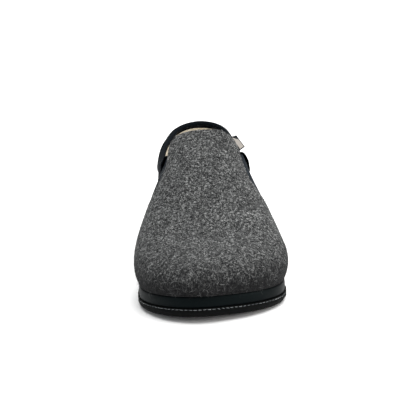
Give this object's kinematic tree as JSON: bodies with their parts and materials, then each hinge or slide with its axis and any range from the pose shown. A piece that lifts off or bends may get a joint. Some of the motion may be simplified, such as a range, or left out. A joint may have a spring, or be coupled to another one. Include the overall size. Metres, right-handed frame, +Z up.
{
  "type": "felt slipper",
  "caption": "Closed wool-felt slipper for the left foot, with elastic side gores, a bound collar, a platform band and a rubber outsole.",
  "frame": {"origin": "centre of the bounding box's base, on the floor under the sole", "axes": "+Y from the toe to the heel, +X to the lateral side, +Z up"},
  "size_m": [0.1158, 0.2904, 0.1134],
  "materials": {
    "rubber": "matt black moulded rubber",
    "band_cover": "smooth black band with a soft sheen",
    "fleece": "cream fleece",
    "felt": "dark grey melange wool felt",
    "elastic": "black ribbed elastic",
    "tape": "black woven binding tape",
    "woven_label": "light woven ribbon, left bare"
  },
  "bodies": {
    "root": {"outsole": "rubber", "midsole": "band_cover", "insole": "fleece", "upper": "felt", "gore_medial": "elastic", "gore_lateral": "elastic", "collar_binding": "tape", "label_tab": "woven_label"}
  },
  "joints": []
}
